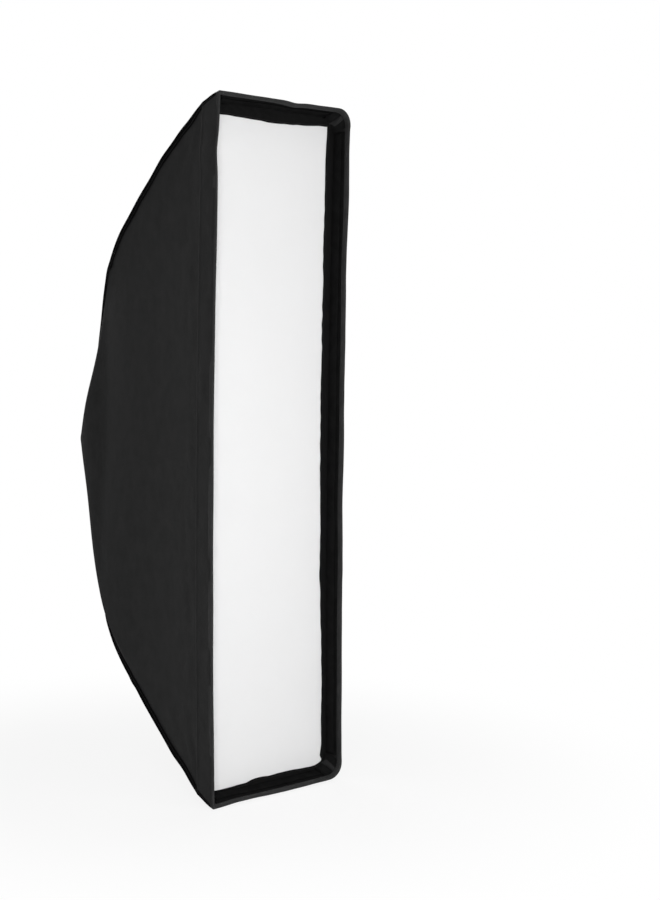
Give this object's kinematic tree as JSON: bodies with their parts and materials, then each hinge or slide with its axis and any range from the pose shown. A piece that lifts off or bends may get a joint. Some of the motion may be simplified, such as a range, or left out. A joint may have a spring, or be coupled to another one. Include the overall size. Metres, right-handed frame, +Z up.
{
  "type": "strip softbox",
  "caption": "Tall narrow fabric light modifier: bowed rods on a turning bayonet speedring hold a black shell with a silver lining, an inner baffle and a recessed white diffuser.",
  "frame": {"origin": "centre of the bayonet insert's rear seat, where the lamp meets the softbox", "axes": "+Y back towards the lamp, -Y out through the diffuser, +Z up along the long side, +X to the right for someone facing the diffuser"},
  "size_m": [0.3, 0.499, 1.2],
  "materials": {
    "cast_aluminium_black": "satin black powder coat",
    "machined_aluminium": "fine turned",
    "zinc_screws": "zinc plated",
    "knob_plastic": "matte",
    "fibreglass_rod": "smooth pultruded",
    "ferrule_steel": "plated",
    "tip_rubber": "matte",
    "pocket_webbing": "coarse weave",
    "black_nylon": "coated woven nylon, low sheen",
    "silver_lining": "pebbled silver coating",
    "seam_binding": "folded binding tape",
    "collar_elastic": "ribbed elastic",
    "loop_tape": "brushed loops",
    "hook_tape": "hook tape",
    "diffusion_cloth": "soft white translucent cloth",
    "baffle_cloth": "thin white translucent cloth",
    "baffle_binding_tape": "folded white tape",
    "strap_elastic": "ribbed elastic",
    "snap_metal": "nickel plated"
  },
  "bodies": {
    "lamp_insert": {"bayonet_insert": "machined_aluminium"},
    "softbox": {"baffle_binding": "baffle_binding_tape", "baffle_snaps": "snap_metal", "baffle_strap_lower_left": "strap_elastic", "baffle_strap_lower_right": "strap_elastic", "baffle_strap_upper_left": "strap_elastic", "baffle_strap_upper_right": "strap_elastic", "bottom_lining": "silver_lining", "bottom_panel": "black_nylon", "corner_pocket_lower_left": "pocket_webbing", "corner_pocket_lower_right": "pocket_webbing", "corner_pocket_upper_left": "pocket_webbing", "corner_pocket_upper_right": "pocket_webbing", "corner_seam_lower_left": "seam_binding", "corner_seam_lower_right": "seam_binding", "corner_seam_upper_left": "seam_binding", "corner_seam_upper_right": "seam_binding", "front_hem": "seam_binding", "front_lip": "black_nylon", "inner_baffle": "baffle_cloth", "left_lining": "silver_lining", "left_panel": "black_nylon", "loop_tape_bottom": "loop_tape", "loop_tape_left": "loop_tape", "loop_tape_right": "loop_tape", "loop_tape_top": "loop_tape", "rear_collar": "collar_elastic", "right_lining": "silver_lining", "right_panel": "black_nylon", "rod_ferrule_lower_left": "ferrule_steel", "rod_ferrule_lower_right": "ferrule_steel", "rod_ferrule_upper_left": "ferrule_steel", "rod_ferrule_upper_right": "ferrule_steel", "rod_lower_left": "fibreglass_rod", "rod_lower_right": "fibreglass_rod", "rod_socket_lower_left": "cast_aluminium_black", "rod_socket_lower_right": "cast_aluminium_black", "rod_socket_upper_left": "cast_aluminium_black", "rod_socket_upper_right": "cast_aluminium_black", "rod_tip_lower_left": "tip_rubber", "rod_tip_lower_right": "tip_rubber", "rod_tip_upper_left": "tip_rubber", "rod_tip_upper_right": "tip_rubber", "rod_upper_left": "fibreglass_rod", "rod_upper_right": "fibreglass_rod", "socket_screws": "zinc_screws", "speedring_body": "cast_aluminium_black", "top_lining": "silver_lining", "top_panel": "black_nylon"},
    "lock_right": {"lock_screw_right": "zinc_screws", "lock_knob_right": "knob_plastic"},
    "lock_upper": {"lock_screw_upper": "zinc_screws", "lock_knob_upper": "knob_plastic"},
    "lock_lower": {"lock_screw_lower": "zinc_screws", "lock_knob_lower": "knob_plastic"},
    "front_diffuser": {"diffuser_border": "seam_binding", "diffuser_hook_tape": "hook_tape", "diffuser_panel": "diffusion_cloth"}
  },
  "joints": [
    {"name": "speedring_turn", "type": "hinge", "parent": "lamp_insert", "child": "softbox", "pos_m": [0, 0, 0], "axis": [0, 1, 0], "continuous": true},
    {"name": "lock_right_turn", "type": "hinge", "parent": "softbox", "child": "lock_right", "pos_m": [0.08, -0.006, 0], "axis": [1, 0, 0], "continuous": true},
    {"name": "lock_upper_turn", "type": "hinge", "parent": "softbox", "child": "lock_upper", "pos_m": [-0.04, -0.006, 0.06928], "axis": [-0.5, 0, 0.866], "continuous": true},
    {"name": "lock_lower_turn", "type": "hinge", "parent": "softbox", "child": "lock_lower", "pos_m": [-0.04, -0.006, -0.06928], "axis": [-0.5, 0, -0.866], "continuous": true},
    {"name": "diffuser_release", "type": "slide", "parent": "softbox", "child": "front_diffuser", "axis": [0, -1, 0], "range_m": [0, 0.15]}
  ]
}
